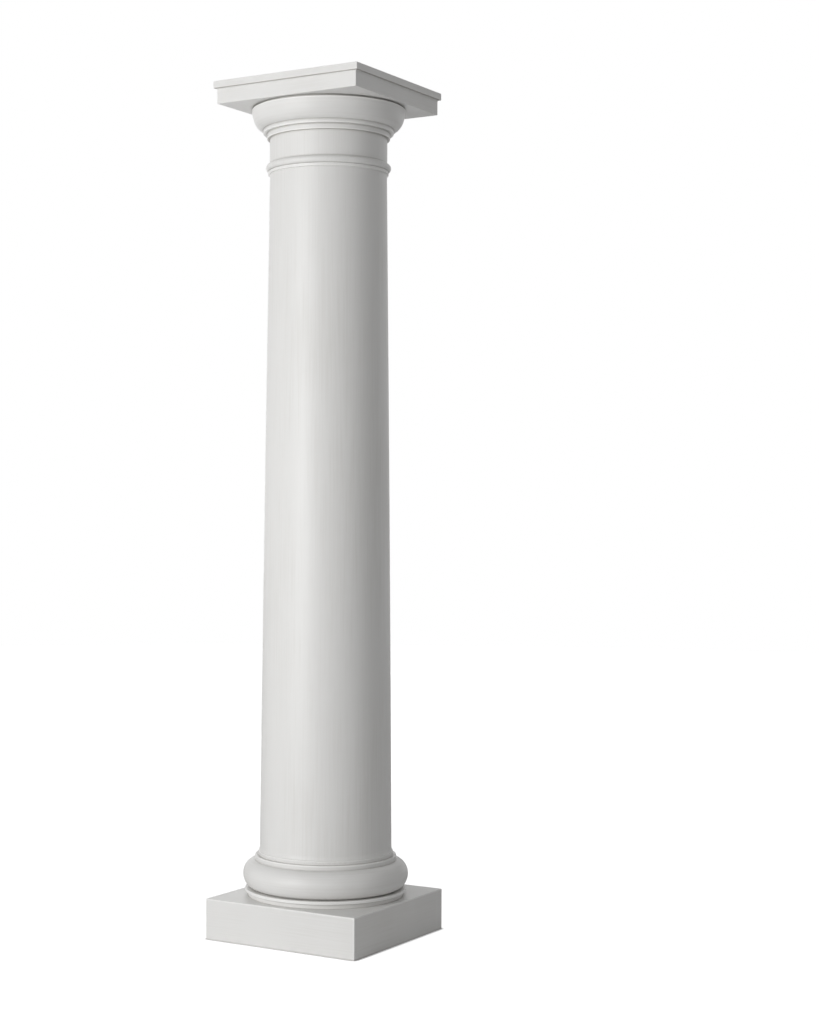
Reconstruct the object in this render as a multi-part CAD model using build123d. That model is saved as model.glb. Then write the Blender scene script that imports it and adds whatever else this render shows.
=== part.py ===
"""A plain round column: a hollow tapered shaft with slip-on base and capital mouldings.

Millimetres, +Z up. The origin is on the column's axis, in the plane of the floor.
The sides of the plinth and of the abacus are parallel to X and Y.
The round mouldings and the square blocks are bored to slip over a spigot turned on each end of
the shaft, so the shaft alone carries the load from the beam to the floor.
"""

import os

from build123d import *

# Overall height, floor to beam
COLUMN_HEIGHT = 2440.0

# Square plinth
PLINTH_WIDTH = 494.0
PLINTH_HEIGHT = 116.0
PLINTH_ARRIS = 2.5

# Round base moulding, from the plinth up, with the reach of its fillets past the listel
# as a share of the reach of the torus
LOWER_FILLET_SHARE = 0.58
LOWER_FILLET_HEIGHT = 13.5
UPPER_FILLET_SHARE = 0.83
UPPER_FILLET_HEIGHT = 8.0
TORUS_RADIUS = 237.5
TORUS_HEIGHT = 80.0
LISTEL_RADIUS = 203.0
LISTEL_HEIGHT = 14.0

# Shaft, from the foot up
FOOT_FILLET_RADIUS = 194.0
FOOT_FILLET_HEIGHT = 11.0
FOOT_RADIUS = 189.6
FLARE_HEIGHT = 12.0
SHAFT_TOP_RADIUS = 168.8
ENTASIS = 1.0
ASTRAGAL_COVE_HEIGHT = 4.0
ASTRAGAL_FILLET_RADIUS = 173.5
ASTRAGAL_FILLET_HEIGHT = 8.0
ASTRAGAL_RADIUS = 180.5
ASTRAGAL_HEIGHT = 21.0
NECK_RADIUS = 169.5
NECK_HEIGHT = 72.5

# Hollow core between the staves
STAVE_COUNT = 12
STAVE_THICKNESS = 45.0

# Spigots turned on the ends of the shaft, and the play of the bores that slip over them
BASE_SPIGOT_RADIUS = 178.0
CAPITAL_SPIGOT_RADIUS = 158.0
SPIGOT_CLEARANCE = 1.0

# Round capital moulding, from the neck up
LOWER_ANNULET_RADIUS = 177.0
LOWER_ANNULET_HEIGHT = 16.0
UPPER_ANNULET_RADIUS = 188.0
UPPER_ANNULET_HEIGHT = 11.0
ECHINUS_RADIUS = 221.0
ECHINUS_HEIGHT = 56.5
QUIRK_RADIUS = 211.0
QUIRK_HEIGHT = 5.0

# Square abacus
ABACUS_WIDTH = 478.0
ABACUS_HEIGHT = 64.0
ABACUS_FILLET_HEIGHT = 20.0
ABACUS_LEDGE = 3.0
ABACUS_COVE_RADIUS = 5.0
ABACUS_ARRIS = 1.8

# Softened arrises of the turned fillets
TURNED_ARRIS = 1.2

# Radii and levels of the mouldings and their joints, all from the sizes above
TORUS_REACH = TORUS_RADIUS - LISTEL_RADIUS
LOWER_FILLET_RADIUS = LISTEL_RADIUS + LOWER_FILLET_SHARE * TORUS_REACH
UPPER_FILLET_RADIUS = LISTEL_RADIUS + UPPER_FILLET_SHARE * TORUS_REACH
FILLET_JOINT = PLINTH_HEIGHT + LOWER_FILLET_HEIGHT
TORUS_FOOT = FILLET_JOINT + UPPER_FILLET_HEIGHT
TORUS_TOP = TORUS_FOOT + TORUS_HEIGHT
BASE_SEAT = TORUS_TOP + LISTEL_HEIGHT
FLARE_FOOT = BASE_SEAT + FOOT_FILLET_HEIGHT
TAPER_FOOT = FLARE_FOOT + FLARE_HEIGHT
SOFFIT = COLUMN_HEIGHT - ABACUS_HEIGHT
ECHINUS_TOP = SOFFIT - QUIRK_HEIGHT
ECHINUS_FOOT = ECHINUS_TOP - ECHINUS_HEIGHT
ANNULET_JOINT = ECHINUS_FOOT - UPPER_ANNULET_HEIGHT
CAPITAL_SEAT = ANNULET_JOINT - LOWER_ANNULET_HEIGHT
ASTRAGAL_TOP = CAPITAL_SEAT - NECK_HEIGHT
ASTRAGAL_FOOT = ASTRAGAL_TOP - ASTRAGAL_HEIGHT
ASTRAGAL_FILLET_FOOT = ASTRAGAL_FOOT - ASTRAGAL_FILLET_HEIGHT
TAPER_TOP = ASTRAGAL_FILLET_FOOT - ASTRAGAL_COVE_HEIGHT
ABACUS_FILLET_FOOT = COLUMN_HEIGHT - ABACUS_FILLET_HEIGHT
ABACUS_COVE_FOOT = ABACUS_FILLET_FOOT - ABACUS_COVE_RADIUS


def turned(outline, arrises):
    """Turn a closed outline of radius and height about the axis, with the given corners softened."""
    section = make_face(outline)
    corners = []
    for vertex in section.vertices():
        if any(abs(vertex.X - r) < 0.01 and abs(vertex.Y - z) < 0.01 for r, z in arrises):
            corners.append(vertex)
    section = fillet(corners, TURNED_ARRIS)
    return revolve(Plane.XZ * section, Axis.Z)


def quarter(centre, x_radius, y_radius, start):
    """A quarter of an ellipse, anticlockwise from the start angle."""
    return EllipticalCenterArc(centre, x_radius, y_radius, start_angle=start, arc_size=90)


def make_shaft():
    """The shaft: flared foot, tapered round, astragal, neck, and a spigot at each end."""
    bead_centre = ASTRAGAL_RADIUS - ASTRAGAL_HEIGHT / 2
    foot_flare_end = FOOT_FILLET_RADIUS - TURNED_ARRIS
    head_cove_end = ASTRAGAL_FILLET_RADIUS - TURNED_ARRIS
    outline = [
        Polyline(
            (0, COLUMN_HEIGHT),
            (0, 0),
            (BASE_SPIGOT_RADIUS, 0),
            (BASE_SPIGOT_RADIUS, BASE_SEAT),
            (FOOT_FILLET_RADIUS, BASE_SEAT),
            (FOOT_FILLET_RADIUS, FLARE_FOOT),
            (foot_flare_end, FLARE_FOOT),
        ),
        quarter((foot_flare_end, TAPER_FOOT), foot_flare_end - FOOT_RADIUS, FLARE_HEIGHT, 180),
        ThreePointArc(
            (FOOT_RADIUS, TAPER_FOOT),
            ((FOOT_RADIUS + SHAFT_TOP_RADIUS) / 2 + ENTASIS, (TAPER_FOOT + TAPER_TOP) / 2),
            (SHAFT_TOP_RADIUS, TAPER_TOP),
        ),
        quarter((head_cove_end, TAPER_TOP), head_cove_end - SHAFT_TOP_RADIUS, ASTRAGAL_COVE_HEIGHT, 90),
        Polyline(
            (head_cove_end, ASTRAGAL_FILLET_FOOT),
            (ASTRAGAL_FILLET_RADIUS, ASTRAGAL_FILLET_FOOT),
            (ASTRAGAL_FILLET_RADIUS, ASTRAGAL_FOOT),
            (bead_centre, ASTRAGAL_FOOT),
        ),
        ThreePointArc(
            (bead_centre, ASTRAGAL_FOOT),
            (ASTRAGAL_RADIUS, (ASTRAGAL_FOOT + ASTRAGAL_TOP) / 2),
            (bead_centre, ASTRAGAL_TOP),
        ),
        Polyline(
            (bead_centre, ASTRAGAL_TOP),
            (NECK_RADIUS, ASTRAGAL_TOP),
            (NECK_RADIUS, CAPITAL_SEAT),
            (CAPITAL_SPIGOT_RADIUS, CAPITAL_SEAT),
            (CAPITAL_SPIGOT_RADIUS, COLUMN_HEIGHT),
            (0, COLUMN_HEIGHT),
        ),
    ]
    arrises = [
        (FOOT_FILLET_RADIUS, BASE_SEAT),
        (ASTRAGAL_FILLET_RADIUS, ASTRAGAL_FOOT),
    ]
    taper = (FOOT_RADIUS - SHAFT_TOP_RADIUS) / (TAPER_TOP - TAPER_FOOT)
    core_foot = FOOT_RADIUS + taper * TAPER_FOOT - STAVE_THICKNESS
    core_top = core_foot - taper * COLUMN_HEIGHT
    core = loft(
        [
            RegularPolygon(core_foot, STAVE_COUNT, major_radius=False).face(),
            (Plane.XY.offset(COLUMN_HEIGHT) * RegularPolygon(core_top, STAVE_COUNT, major_radius=False)).face(),
        ],
        ruled=True,
    )
    return turned(outline, arrises) - core


def make_plinth():
    """The square block under the round base."""
    block = extrude(Rectangle(PLINTH_WIDTH, PLINTH_WIDTH), PLINTH_HEIGHT)
    block = fillet(block.edges().group_by(Axis.Z)[1:], PLINTH_ARRIS)
    return block - extrude(Circle(BASE_SPIGOT_RADIUS + SPIGOT_CLEARANCE), PLINTH_HEIGHT)


def make_base_ring():
    """The round base: two fillets, a full torus and a listel."""
    bore = BASE_SPIGOT_RADIUS + SPIGOT_CLEARANCE
    torus_middle = (TORUS_FOOT + TORUS_TOP) / 2
    outline = [
        Polyline(
            (LISTEL_RADIUS, TORUS_TOP),
            (LISTEL_RADIUS, BASE_SEAT),
            (bore, BASE_SEAT),
            (bore, PLINTH_HEIGHT),
            (LOWER_FILLET_RADIUS, PLINTH_HEIGHT),
            (LOWER_FILLET_RADIUS, FILLET_JOINT),
            (UPPER_FILLET_RADIUS, FILLET_JOINT),
            (UPPER_FILLET_RADIUS, TORUS_FOOT),
            (LISTEL_RADIUS, TORUS_FOOT),
        ),
        quarter((LISTEL_RADIUS, torus_middle), TORUS_REACH, TORUS_HEIGHT / 2, 270),
        quarter((LISTEL_RADIUS, torus_middle), TORUS_REACH, TORUS_HEIGHT / 2, 0),
    ]
    arrises = [
        (LISTEL_RADIUS, BASE_SEAT),
        (LOWER_FILLET_RADIUS, PLINTH_HEIGHT),
        (UPPER_FILLET_RADIUS, FILLET_JOINT),
        (UPPER_FILLET_RADIUS, TORUS_FOOT),
    ]
    return turned(outline, arrises)


def make_capital_ring():
    """The round capital: two annulets and a quarter-round echinus, with a quirk under the abacus."""
    bore = CAPITAL_SPIGOT_RADIUS + SPIGOT_CLEARANCE
    outline = [
        Polyline(
            (UPPER_ANNULET_RADIUS, ECHINUS_FOOT),
            (UPPER_ANNULET_RADIUS, ANNULET_JOINT),
            (LOWER_ANNULET_RADIUS, ANNULET_JOINT),
            (LOWER_ANNULET_RADIUS, CAPITAL_SEAT),
            (bore, CAPITAL_SEAT),
            (bore, SOFFIT),
            (QUIRK_RADIUS, SOFFIT),
            (QUIRK_RADIUS, ECHINUS_TOP),
            (ECHINUS_RADIUS, ECHINUS_TOP),
        ),
        quarter(
            (UPPER_ANNULET_RADIUS, ECHINUS_TOP),
            ECHINUS_RADIUS - UPPER_ANNULET_RADIUS,
            ECHINUS_HEIGHT,
            270,
        ),
    ]
    arrises = [
        (LOWER_ANNULET_RADIUS, CAPITAL_SEAT),
        (UPPER_ANNULET_RADIUS, ANNULET_JOINT),
        (ECHINUS_RADIUS, ECHINUS_TOP),
    ]
    return turned(outline, arrises)


def make_abacus():
    """The square block on top: a plain band, a small cove and a projecting top fillet."""
    edge = ABACUS_WIDTH / 2
    cove = edge - ABACUS_LEDGE
    band = cove - ABACUS_COVE_RADIUS
    half = [
        (cove, ABACUS_FILLET_FOOT),
        (edge, ABACUS_FILLET_FOOT),
        (edge, COLUMN_HEIGHT),
    ]
    section = make_face(
        [
            Polyline((band, ABACUS_COVE_FOOT), (band, SOFFIT), (-band, SOFFIT), (-band, ABACUS_COVE_FOOT)),
            quarter((-cove, ABACUS_COVE_FOOT), ABACUS_COVE_RADIUS, ABACUS_COVE_RADIUS, 0),
            Polyline(*[(-x, z) for x, z in half], *reversed(half)),
            quarter((cove, ABACUS_COVE_FOOT), ABACUS_COVE_RADIUS, ABACUS_COVE_RADIUS, 90),
        ]
    )
    along_y = extrude(Plane.XZ.offset(-ABACUS_WIDTH) * section, 2 * ABACUS_WIDTH)
    block = along_y & along_y.rotate(Axis.Z, 90)
    levels = block.edges().group_by(Axis.Z)
    ledge = block.edges().filter_by_position(Axis.Z, ABACUS_FILLET_FOOT, ABACUS_FILLET_FOOT)
    arrises = levels[0] + levels[-1] + ledge.sort_by(SortBy.LENGTH)[-4:] + block.edges().filter_by(Axis.Z)
    block = fillet(arrises, ABACUS_ARRIS)
    bore = Circle(CAPITAL_SPIGOT_RADIUS + SPIGOT_CLEARANCE)
    return block - extrude(Plane.XY.offset(SOFFIT) * bore, ABACUS_HEIGHT)


PARTS = {
    "plinth": make_plinth,
    "base_ring": make_base_ring,
    "shaft": make_shaft,
    "capital_ring": make_capital_ring,
    "abacus": make_abacus,
}


def main():
    os.makedirs("parts", exist_ok=True)
    for name, make in PARTS.items():
        export_step(make(), f"parts/{name}.step")


if __name__ == "__main__":
    main()
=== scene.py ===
"""Studio scene of a plain round column in white painted timber.

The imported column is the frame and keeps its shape. Each operator paints one piece or a group of
like pieces, and the last one builds the stage. Metres, +Z up, the column standing on z = 0.
"""

import math

import bpy
from mathutils import Matrix, Vector


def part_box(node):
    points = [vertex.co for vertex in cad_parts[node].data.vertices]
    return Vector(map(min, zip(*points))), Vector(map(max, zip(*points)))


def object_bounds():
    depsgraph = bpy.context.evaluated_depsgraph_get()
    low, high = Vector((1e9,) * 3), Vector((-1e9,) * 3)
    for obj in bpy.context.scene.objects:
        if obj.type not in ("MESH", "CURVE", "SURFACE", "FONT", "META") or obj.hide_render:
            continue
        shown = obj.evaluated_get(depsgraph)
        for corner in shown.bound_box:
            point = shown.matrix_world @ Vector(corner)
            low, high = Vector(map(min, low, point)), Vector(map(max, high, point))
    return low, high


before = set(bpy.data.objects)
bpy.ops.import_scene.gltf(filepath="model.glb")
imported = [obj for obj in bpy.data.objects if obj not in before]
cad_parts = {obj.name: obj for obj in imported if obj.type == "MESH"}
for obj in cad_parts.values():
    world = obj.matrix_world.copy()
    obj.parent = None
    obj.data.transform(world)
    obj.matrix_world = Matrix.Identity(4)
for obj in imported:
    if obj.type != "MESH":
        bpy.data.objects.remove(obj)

bl_info = {
    "name": "Painted Column",
    "version": (1, 0, 0),
    "blender": (4, 5, 0),
    "location": "3D View > Sidebar > Column",
    "description": "Paints a packed timber column and lights it in a pale studio",
    "category": "Object",
}

# Levels of the seats between the pieces, from the frame
CAD_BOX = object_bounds()
COLUMN_HEIGHT = CAD_BOX[1].z
PLINTH_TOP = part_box("plinth")[1].z
BASE_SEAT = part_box("base_ring")[1].z
CAPITAL_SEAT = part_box("capital_ring")[0].z
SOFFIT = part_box("abacus")[0].z

# Brush marks in a metre, across the strokes and along them
SHAFT_MARKS = (190.0, 4.0)
RING_MARKS = (260.0, 3.0)
BLOCK_MARKS = (240.0, 4.0)

# Thin paint
PATCHES = (5.0, 2.0)  # patches in a metre, sideways and upwards
THINNING = (0.42, 0.75)  # noise at which the paint begins to thin, and at which it is thinnest
THIN_SHARE = 0.75  # how much of its colour shows where it is thinnest
THIN_ROUGHER = 0.08  # how much rougher it is there

# Painted highlights along edges, and painted shade in creases and round the foot
ARRIS = (0.05, 0.3)  # hidden share of what lies round a point where the painted edge highlight begins, and where it is full
CREASE = (0.05, 0.35)  # the same for the painted shade in a crease, and for the painted contact shadow on the floor
RAYS = 12  # rays that look for the faces round a point
HIGHLIGHT_START = (0.003, 0.006)  # heights over which the painted edge highlight sets in above the floor
FOOT_SHADE_END = (0.001, 0.004)  # heights over which the painted shade line at the foot ends
UPPER_FADE = 0.3  # height over which the painted edge highlight weakens and the painted crease shade deepens, above the set height
UPPER_HIGHLIGHT_CUT = 0.75  # part of the painted edge highlight that is taken off high up

# How dark the hairline at each level is: the joints between pieces, and the painted shadow line under the
# abacus's fillet
PLINTH_JOINT = 0.2
BASE_JOINT = 0.2
CAPITAL_JOINT = 0.6
SOFFIT_JOINT = 0.5
# Painted shadow line under the abacus's fillet
FILLET_SHADOW_LINE = 0.75

# Bare timber
GRAIN_LINES = (90.0, 2.5)  # lines in a metre, across a stave and along it
GRAIN_SHIFT = 7.0  # how far the noise of the grain moves from one stave to the next
GRAIN_DARKENING = (0.4, 0.7)  # noise at which a line of the grain begins, and at which it is darkest
END_RINGS = 260.0  # growth rings in a metre, on the shaft's ends
RING_BEND = 1.6  # how many rings the grain bends them by
RING_SHIFT = 5.0  # how many rings the staves differ by
RING_DARKENING = (0.35, 0.95)  # how near to a ring the late wood begins, and where it is darkest
LATE_SHARE = 0.75  # how much of the late wood's colour shows
DARK_STAVE = 0.6  # dark shade of a stave, as a part of the timber's colour
STAVE_SHARE = 0.35  # how much of that shade shows on the darkest stave
GLUE_LINE = (0.975, 0.992)  # where, from a stave's middle to its edge, the glue line begins and is full
BARE_ROUGHER = 0.35  # how much rougher than the paint the timber is
END_SKIN = 0.0006  # depth over which the bare ends turn to paint
CORE_EDGE = 0.0005  # half the width over which the bare core turns to paint

# Stage
FLOOR_SIDES = 96
FLOOR_ROUGHNESS = 0.9
SENSOR_MM = 36.0  # fits the longer side of the frame, which is its height
BLACK = (0.0, 0.0, 0.0, 1.0)
WHITE = (1.0, 1.0, 1.0, 1.0)


class ColumnPaint(bpy.types.PropertyGroup):
    paint: bpy.props.FloatVectorProperty(
        name="Paint", description="Colour of the satin paint", subtype="COLOR",
        default=(0.81, 0.805, 0.79), min=0, max=1)
    thin_paint: bpy.props.FloatVectorProperty(
        name="Thin paint", description="Colour where the paint is brushed thin", subtype="COLOR",
        default=(0.74, 0.73, 0.705), min=0, max=1)
    roughness: bpy.props.FloatProperty(
        name="Roughness", description="Roughness of the satin paint", subtype="FACTOR",
        default=0.44, min=0, max=1)
    brush_depth: bpy.props.FloatProperty(
        name="Brush depth", description="Depth of the brush marks", unit="LENGTH", default=0.00012, min=0)
    # Colour of the dark hairlines at the joints, and of the painted shade in creases, round the foot and
    # under the abacus's fillet
    joint_and_shade: bpy.props.FloatVectorProperty(
        name="Joint", description="Colour of the hairlines where pieces meet, and of the dust in creases",
        subtype="COLOR", default=(0.30, 0.28, 0.25), min=0, max=1)
    # Also half the width of the painted shadow line under the abacus's fillet
    hairline_width: bpy.props.FloatProperty(
        name="Joint width", description="Half the width of a hairline", unit="LENGTH", default=0.0014, min=0)
    # Places the painted shadow line under this fillet
    fillet_height: bpy.props.FloatProperty(
        name="Fillet height", description="Height of the fillet round the top of the abacus", unit="LENGTH",
        default=0.020, min=0)
    # Colour of the painted highlight along the edges
    arris_highlight: bpy.props.FloatVectorProperty(
        name="Arris", description="Colour of the edges, which are rubbed smooth", subtype="COLOR",
        default=(0.95, 0.945, 0.93), min=0, max=1)
    # How far from an edge the painted highlight spreads
    arris_reach: bpy.props.FloatProperty(
        name="Arris reach", description="How far from an edge the paint is rubbed smooth", unit="LENGTH",
        default=0.006, min=0)
    # How far out of a crease the painted shade spreads
    crease_reach: bpy.props.FloatProperty(
        name="Crease reach", description="How far out of a crease its dust comes", unit="LENGTH",
        default=0.007, min=0)
    # Strength of the painted shade in creases low down
    crease_shade: bpy.props.FloatProperty(
        name="Crease dust", description="How much dust lies in creases that a hand can reach",
        subtype="FACTOR", default=0.26, min=0, max=1)
    # Strength of the painted shade in creases high up
    upper_crease_shade: bpy.props.FloatProperty(
        name="High dust", description="How much dust lies in creases out of reach", subtype="FACTOR",
        default=0.42, min=0, max=1)
    # How dark the painted shade line round the foot is
    foot_shade: bpy.props.FloatProperty(
        name="Foot dust", description="How dark the scuffed line round the foot is", subtype="FACTOR",
        default=0.35, min=0, max=1)
    # Height above which the painted edge highlights weaken and the painted shade in creases deepens
    upper_height: bpy.props.FloatProperty(
        name="Hand reach", description="Height up to which the column is touched and wiped", unit="LENGTH",
        default=1.7, min=0)
    timber: bpy.props.FloatVectorProperty(
        name="Timber", description="Colour of the bare timber inside the shaft and on its ends",
        subtype="COLOR", default=(0.50, 0.34, 0.19), min=0, max=1)
    late_wood: bpy.props.FloatVectorProperty(
        name="Late wood", description="Colour of the dark lines of the grain", subtype="COLOR",
        default=(0.33, 0.19, 0.09), min=0, max=1)
    staves: bpy.props.IntProperty(
        name="Staves", description="Number of staves that the shaft is glued from", default=12, min=6)
    core_radius: bpy.props.FloatProperty(
        name="Core radius", description="Radius inside which the shaft is bare timber", unit="LENGTH",
        default=0.154, min=0)


class ColumnStage(bpy.types.PropertyGroup):
    camera_place: bpy.props.FloatVectorProperty(
        name="Camera place", description="Where the camera stands", subtype="TRANSLATION",
        default=(2.964, -4.740, 1.219))
    camera_azimuth: bpy.props.FloatProperty(
        name="Azimuth", description="Turn of the camera about Z, from looking along +Y", subtype="ANGLE",
        default=math.radians(31.95))
    camera_tilt: bpy.props.FloatProperty(
        name="Tilt", description="Angle that the camera looks up by", subtype="ANGLE",
        default=math.radians(0.154))
    camera_roll: bpy.props.FloatProperty(
        name="Roll", description="Turn of the camera about its own axis", subtype="ANGLE",
        default=math.radians(0.241))
    lens: bpy.props.FloatProperty(
        name="Lens", description="Focal length for a frame 36 mm high", subtype="DISTANCE_CAMERA",
        default=69.03, min=1)
    shift: bpy.props.FloatProperty(
        name="Shift", description="Sideways shift that leaves the column at the left of the frame",
        default=0.0792)
    key_power: bpy.props.FloatProperty(
        name="Key", description="Power of the large light left of the camera", subtype="POWER",
        default=140, min=0)
    key_azimuth: bpy.props.FloatProperty(
        name="Key azimuth", description="Side that the large light stands on, turned about Z from -Y",
        subtype="ANGLE", default=math.radians(-13))
    ambient: bpy.props.FloatProperty(
        name="Ambient", description="Level of the light from all round", default=0.265, min=0)
    back_power: bpy.props.FloatProperty(
        name="Back light", description="Power of the light behind the column", subtype="POWER",
        default=16, min=0)
    back_azimuth: bpy.props.FloatProperty(
        name="Back light azimuth", description="Side that the back light stands on, turned about Z from -Y",
        subtype="ANGLE", default=math.radians(-140))
    light_rise: bpy.props.FloatProperty(
        name="Light rise", description="Height of a light over the column's middle, for each metre out",
        default=0.10)
    light_distance: bpy.props.FloatProperty(
        name="Light distance", description="Distance of both lights", unit="LENGTH", default=5.0, min=1)
    light_width: bpy.props.FloatProperty(
        name="Light width", description="Width of each light", unit="LENGTH", default=2.2, min=0.1)
    light_height: bpy.props.FloatProperty(
        name="Light height", description="Height of each light", unit="LENGTH", default=3.0, min=0.1)
    floor_radius: bpy.props.FloatProperty(
        name="Floor radius", description="Radius of the floor", unit="LENGTH", default=12.0, min=1)
    floor: bpy.props.FloatVectorProperty(
        name="Floor", description="Colour of the floor", subtype="COLOR",
        default=(0.92, 0.92, 0.92), min=0, max=1)
    floor_lift: bpy.props.FloatProperty(
        name="Floor lift", description="How much lighter the camera sees the floor", default=0.75, min=0)
    # Width of the painted contact shadow on the floor round the plinth
    contact_shadow_reach: bpy.props.FloatProperty(
        name="Contact reach", description="Width of the dark line where the plinth meets the floor",
        unit="LENGTH", default=0.015, min=0)


class Value:
    """A socket's value. Arithmetic on it adds Math nodes."""

    def __init__(self, nodes, socket):
        self.nodes = nodes
        self.socket = socket

    def __add__(self, other):
        return self.nodes.math("ADD", self, other)

    def __sub__(self, other):
        return self.nodes.math("SUBTRACT", self, other)

    def __rsub__(self, other):
        return self.nodes.math("SUBTRACT", other, self)

    def __mul__(self, other):
        return self.nodes.math("MULTIPLY", self, other)

    __radd__ = __add__
    __rmul__ = __mul__

    def sqrt(self):
        return self.nodes.math("SQRT", self)

    def abs(self):
        return self.nodes.math("ABSOLUTE", self)

    def floor(self):
        return self.nodes.math("FLOOR", self)

    def either(self, other):
        return self.nodes.math("MAXIMUM", self, other)

    def swing(self):
        """1 at each whole number, 0 halfway between two of them, and a straight slope between."""
        return (self.nodes.math("FRACT", self) - 0.5).abs() * 2.0

    def rise(self, low, high):
        """0 up to low, 1 from high on, and a smooth rise between them."""
        return self.nodes.node(
            "ShaderNodeMapRange", {"Value": self, "From Min": low, "From Max": high},
            interpolation_type="SMOOTHSTEP")

    def near(self, level, width):
        """1 at a level, falling to 0 at a width from it."""
        return 1 - (self - level).abs().rise(0.0, width)


class Nodes:
    """The nodes of a new material or world. Each of them comes from one method."""

    def __init__(self, owner):
        owner.use_nodes = True
        self.owner = owner
        self.tree = owner.node_tree
        self.tree.nodes.clear()

    def node(self, kind, inputs=None, output=0, **settings):
        """Add a node, set it up, feed its inputs by name or number, and return one of its outputs."""
        node = self.tree.nodes.new(kind)
        for name, value in settings.items():
            setattr(node, name, value)
        for name, value in (inputs or {}).items():
            if isinstance(value, Value):
                self.tree.links.new(value.socket, node.inputs[name])
            else:
                node.inputs[name].default_value = value
        return Value(self, node.outputs[output]) if node.outputs else None

    def math(self, operation, *values):
        return self.node("ShaderNodeMath", dict(enumerate(values)), operation=operation)

    def place(self):
        """A point's x, y and z in the column's own frame."""
        point = self.node("ShaderNodeTexCoord", output="Object")
        return [self.node("ShaderNodeSeparateXYZ", {"Vector": point}, axis) for axis in "XYZ"]

    def vector(self, x, y, z):
        return self.node("ShaderNodeCombineXYZ", {"X": x, "Y": y, "Z": z})

    def noise(self, vector, detail, roughness=0.55):
        return self.node(
            "ShaderNodeTexNoise", {"Vector": vector, "Scale": 1.0, "Detail": detail, "Roughness": roughness})

    def mix(self, factor, first, second):
        """A mix of two colours, which a Mix node takes at sockets 6 and 7 and gives at output 2."""
        return self.node("ShaderNodeMix", {0: factor, 6: first, 7: second}, 2, data_type="RGBA")

    def hemmed_in(self, reach, inside=False):
        """0 on open faces, and more where other faces stand close round a point, or behind it if inside."""
        return 1 - self.node(
            "ShaderNodeAmbientOcclusion", {"Distance": reach}, "AO",
            samples=RAYS, inside=inside, only_local=inside)

    def bump(self, height, depth):
        return self.node("ShaderNodeBump", {"Height": height, "Distance": depth})

    def surface(self, **inputs):
        """Close the material with a Principled surface and return it."""
        named = {name.replace("_", " "): value for name, value in inputs.items()}
        surface = self.node("ShaderNodeBsdfPrincipled", named)
        self.node("ShaderNodeOutputMaterial", {"Surface": surface})
        return self.owner


def opaque(colour):
    return (*colour, 1.0)


def painted(name, strokes, hairline_levels, bare=None, dim_upper_highlights=False):
    """A satin paint brushed along the strokes, with a painted highlight along its edges, painted shade in its
    creases and round its foot, dark hairlines at the given levels, and bare timber where asked. The levels,
    of joints between pieces and of a painted shadow line, map to how dark each hairline is. The last flag
    takes most of the painted edge highlight off high up."""
    look = bpy.context.scene.column_paint
    shader = Nodes(bpy.data.materials.new(name))
    x, y, z = shader.place()
    radius = (x * x + y * y).sqrt()
    # 1 high up, where the painted edge highlights weaken and the painted crease shade deepens
    upper_part = z.rise(look.upper_height, look.upper_height + UPPER_FADE)

    marks = shader.noise(strokes(shader, x, y, z, radius), detail=4.0)
    sideways, upwards = PATCHES
    patches = shader.noise(shader.vector(x * sideways, y * sideways, z * upwards), detail=2.0)
    thin = (marks * 0.5 + patches * 0.5).rise(*THINNING)
    colour = shader.mix(thin * THIN_SHARE, opaque(look.paint), opaque(look.thin_paint))

    # Painted highlight: a lighter colour along the convex edges
    edge_highlight = shader.hemmed_in(look.arris_reach, inside=True).rise(*ARRIS) * z.rise(*HIGHLIGHT_START)
    # High up on the blocks, most of the painted edge highlight is taken off
    if dim_upper_highlights:
        edge_highlight = edge_highlight * (1 - upper_part * UPPER_HIGHLIGHT_CUT)
    colour = shader.mix(edge_highlight, colour, opaque(look.arris_highlight))

    # Painted shade: a darker colour in creases, stronger high up
    amount = look.crease_shade + upper_part * (look.upper_crease_shade - look.crease_shade)
    shade_and_joint_lines = shader.hemmed_in(look.crease_reach).rise(*CREASE) * amount
    # Painted shade in a thin line round the foot, where the column meets the floor
    shade_and_joint_lines = shade_and_joint_lines.either((1 - z.rise(*FOOT_SHADE_END)) * look.foot_shade)
    # Dark hairlines at the joints, and the painted shadow line under the abacus's fillet
    for level, strength in hairline_levels.items():
        shade_and_joint_lines = shade_and_joint_lines.either(z.near(level, look.hairline_width) * strength)
    # The joint hairlines and the painted shade share one darker colour
    colour = shader.mix(shade_and_joint_lines, colour, opaque(look.joint_and_shade))

    roughness = look.roughness + thin * THIN_ROUGHER
    if bare:
        mask, wood = bare(shader, x, y, z, radius)
        colour = shader.mix(mask, colour, wood)
        roughness = roughness + mask * BARE_ROUGHER
    return shader.surface(
        Base_Color=colour,
        Roughness=roughness,
        Normal=shader.bump(marks, look.brush_depth),
    )


def strokes_along_shaft(shader, x, y, z, radius):
    """Brushed up and down the shaft."""
    across, along = SHAFT_MARKS
    return shader.vector(x * across, y * across, z * along)


def strokes_around_ring(shader, x, y, z, radius):
    """Brushed round the moulding."""
    across, along = RING_MARKS
    return shader.vector(radius * across + x * along, y * along, z * across)


def strokes_along_block(shader, x, y, z, radius):
    """Brushed along the sides of the block."""
    across, along = BLOCK_MARKS
    return shader.vector(x * along, y * along, z * across)


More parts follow.
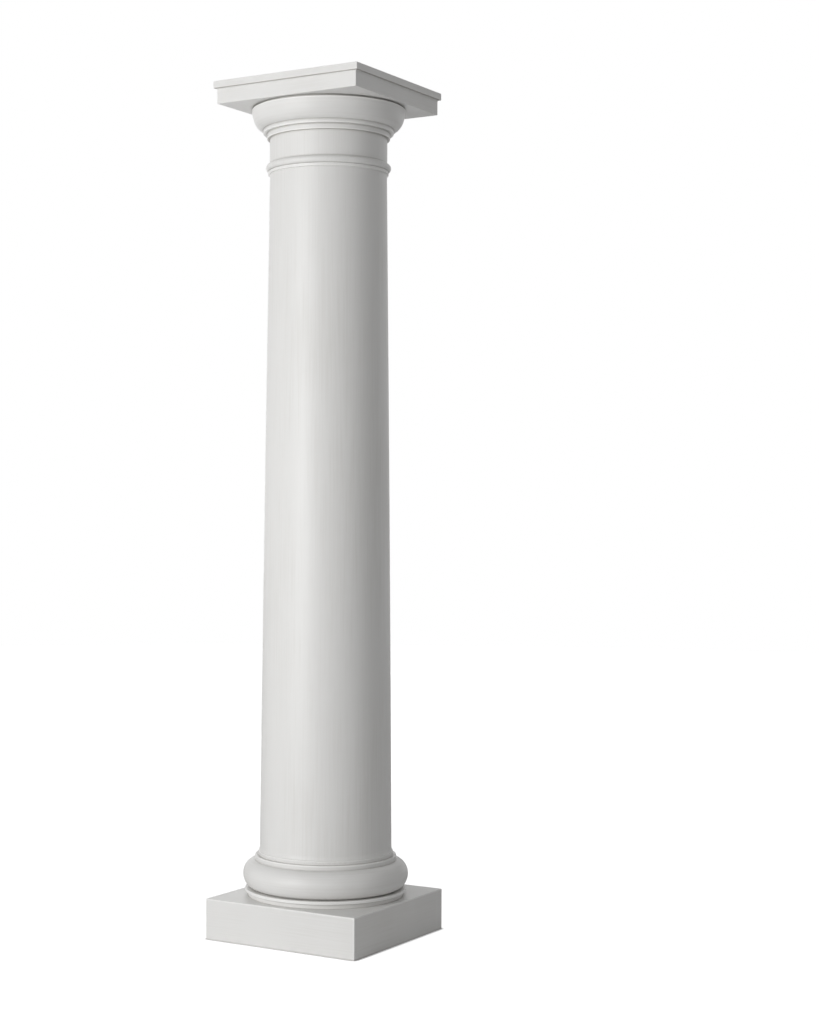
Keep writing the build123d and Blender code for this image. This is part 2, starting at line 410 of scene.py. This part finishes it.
def stave_timber(shader, x, y, z, radius):
    """Where the shaft is bare, in its core and on its ends, and the timber seen there, with one shade and one
    grain to a stave."""
    look = bpy.context.scene.column_paint
    turn = shader.math("ARCTAN2", y, x) * (look.staves / (2 * math.pi))
    stave = turn.floor()
    tone = shader.node("ShaderNodeTexWhiteNoise", {"W": stave}, noise_dimensions="1D")
    across, along = GRAIN_LINES
    grain = shader.noise(shader.vector(x * across + stave * GRAIN_SHIFT, y * across, z * along), detail=5.0)
    rings = (radius * END_RINGS + grain * RING_BEND + tone * RING_SHIFT).swing()
    on_end = z.near(0.0, END_SKIN).either(z.near(COLUMN_HEIGHT, END_SKIN))
    lines = grain.rise(*GRAIN_DARKENING) * (1 - on_end) + rings.rise(*RING_DARKENING) * on_end
    wood = shader.mix(lines * LATE_SHARE, opaque(look.timber), opaque(look.late_wood))
    wood = shader.mix(tone * STAVE_SHARE, wood, opaque([part * DARK_STAVE for part in look.timber]))
    wood = shader.mix(turn.swing().rise(*GLUE_LINE), wood, opaque(look.late_wood))
    core = 1 - radius.rise(look.core_radius - CORE_EDGE, look.core_radius + CORE_EDGE)
    return core.either(on_end), wood


def dress(node, material):
    """Give a node of the frame its paint."""
    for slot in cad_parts[node].material_slots:
        slot.material = material


class COLUMN_OT_paint_shaft(bpy.types.Operator):
    """Paint the turned shaft outside and leave its staves bare inside and on the ends"""
    bl_idname = "column.paint_shaft"
    bl_label = "Paint Shaft"

    def execute(self, context):
        hairline_levels = {BASE_SEAT: BASE_JOINT, CAPITAL_SEAT: CAPITAL_JOINT}
        dress("shaft", painted("shaft_paint", strokes_along_shaft, hairline_levels, stave_timber))
        return {"FINISHED"}


class COLUMN_OT_paint_mouldings(bpy.types.Operator):
    """Paint the two rings of round mouldings"""
    bl_idname = "column.paint_mouldings"
    bl_label = "Paint Mouldings"

    def execute(self, context):
        hairline_levels = {
            PLINTH_TOP: PLINTH_JOINT,
            BASE_SEAT: BASE_JOINT,
            CAPITAL_SEAT: CAPITAL_JOINT,
            SOFFIT: SOFFIT_JOINT,
        }
        material = painted("moulding_paint", strokes_around_ring, hairline_levels)
        for ring in ("base_ring", "capital_ring"):
            dress(ring, material)
        return {"FINISHED"}


class COLUMN_OT_paint_blocks(bpy.types.Operator):
    """Paint the square plinth and the square abacus"""
    bl_idname = "column.paint_blocks"
    bl_label = "Paint Blocks"

    def execute(self, context):
        # A painted shadow line under the abacus's fillet, where its ledge throws shade
        hairline_levels = {COLUMN_HEIGHT - context.scene.column_paint.fillet_height: FILLET_SHADOW_LINE}
        material = painted("block_paint", strokes_along_block, hairline_levels, dim_upper_highlights=True)
        for block in ("plinth", "abacus"):
            dress(block, material)
        return {"FINISHED"}


class COLUMN_OT_build_stage(bpy.types.Operator):
    """Build the pale floor, the lights and the camera"""
    bl_idname = "column.build_stage"
    bl_label = "Build Stage"

    def execute(self, context):
        stage = context.scene.column_stage
        lay_floor(stage)
        light_world(stage)
        hang_light(stage, "key", stage.key_azimuth, stage.key_power)
        hang_light(stage, "back_light", stage.back_azimuth, stage.back_power)
        place_camera(stage)
        context.scene.view_settings.view_transform = "Standard"
        return {"FINISHED"}


def lay_floor(stage):
    """A wide pale disc that the camera sees almost white, with a painted contact shadow round the plinth, and
    that keeps the column's shadow.
    """
    bpy.ops.object.select_all(action="DESELECT")
    bpy.ops.mesh.primitive_circle_add(vertices=FLOOR_SIDES, radius=stage.floor_radius, fill_type="NGON")
    floor = bpy.context.object
    floor.name = "floor"
    shader = Nodes(bpy.data.materials.new("floor"))
    seen = shader.node("ShaderNodeLightPath", output="Is Camera Ray")
    # Painted contact shadow: the floor's white lift fades out close to the plinth
    contact_shadow = shader.hemmed_in(stage.contact_shadow_reach).rise(*CREASE)
    floor.data.materials.append(
        shader.surface(
            Base_Color=opaque(stage.floor),
            Roughness=FLOOR_ROUGHNESS,
            Emission_Color=shader.mix(seen * (1 - contact_shadow), BLACK, WHITE),
            Emission_Strength=stage.floor_lift,
        )
    )


def light_world(stage):
    """Even light from all round, which the camera and the gloss see as white."""
    world = bpy.data.worlds.new("studio")
    bpy.context.scene.world = world
    sky = Nodes(world)
    by_camera = sky.node("ShaderNodeLightPath", output="Is Camera Ray")
    by_gloss = sky.node("ShaderNodeLightPath", output="Is Glossy Ray")
    level = stage.ambient + by_camera.either(by_gloss) * (1 - stage.ambient)
    background = sky.node("ShaderNodeBackground", {"Color": WHITE, "Strength": level})
    sky.node("ShaderNodeOutputWorld", {"Surface": background})


def hang_light(stage, name, azimuth, power):
    """A large soft light that faces the column's middle."""
    middle = Vector((0, 0, COLUMN_HEIGHT / 2))
    away = Vector((math.sin(azimuth), -math.cos(azimuth), stage.light_rise)).normalized()
    bpy.ops.object.light_add(type="AREA", location=middle + away * stage.light_distance)
    light = bpy.context.object
    light.name = name
    light.data.shape = "RECTANGLE"
    light.data.size = stage.light_width
    light.data.size_y = stage.light_height
    light.data.energy = power
    light.rotation_euler = away.to_track_quat("Z", "Y").to_euler()
    light.visible_camera = False


def place_camera(stage):
    """The camera at the photograph's place, turned, tilted and rolled as it was."""
    azimuth, tilt, roll = stage.camera_azimuth, stage.camera_tilt, stage.camera_roll
    back = Vector((
        math.sin(azimuth) * math.cos(tilt), -math.cos(azimuth) * math.cos(tilt), -math.sin(tilt)))
    level = Vector((math.cos(azimuth), math.sin(azimuth), 0.0))
    upright = back.cross(level)
    right = level * math.cos(roll) + upright * math.sin(roll)
    up = upright * math.cos(roll) - level * math.sin(roll)
    bpy.ops.object.camera_add()
    camera = bpy.context.object
    camera.data.sensor_width = SENSOR_MM
    camera.data.lens = stage.lens
    camera.data.shift_x = stage.shift
    turned = Matrix((right, up, back)).transposed().to_4x4()
    camera.matrix_world = Matrix.Translation(stage.camera_place) @ turned
    bpy.context.scene.camera = camera


class COLUMN_PT_panel(bpy.types.Panel):
    """The column's pieces and its stage"""
    bl_label = "Column"
    bl_idname = "COLUMN_PT_panel"
    bl_space_type = "VIEW_3D"
    bl_region_type = "UI"
    bl_category = "Column"

    def draw(self, context):
        for group in (context.scene.column_paint, context.scene.column_stage):
            box = self.layout.box()
            for name in group.__annotations__:
                box.prop(group, name)
        for step in STEPS:
            self.layout.operator(step.bl_idname)


STEPS = (
    COLUMN_OT_paint_shaft,
    COLUMN_OT_paint_mouldings,
    COLUMN_OT_paint_blocks,
    COLUMN_OT_build_stage,
)
CLASSES = (ColumnPaint, ColumnStage, *STEPS, COLUMN_PT_panel)


def register():
    for cls in CLASSES:
        bpy.utils.register_class(cls)
    bpy.types.Scene.column_paint = bpy.props.PointerProperty(type=ColumnPaint)
    bpy.types.Scene.column_stage = bpy.props.PointerProperty(type=ColumnStage)


def unregister():
    del bpy.types.Scene.column_stage
    del bpy.types.Scene.column_paint
    for cls in reversed(CLASSES):
        bpy.utils.unregister_class(cls)


def main():
    register()
    bpy.ops.column.paint_shaft()
    bpy.ops.column.paint_mouldings()
    bpy.ops.column.paint_blocks()
    bpy.ops.column.build_stage()


if __name__ == "__main__":
    main()
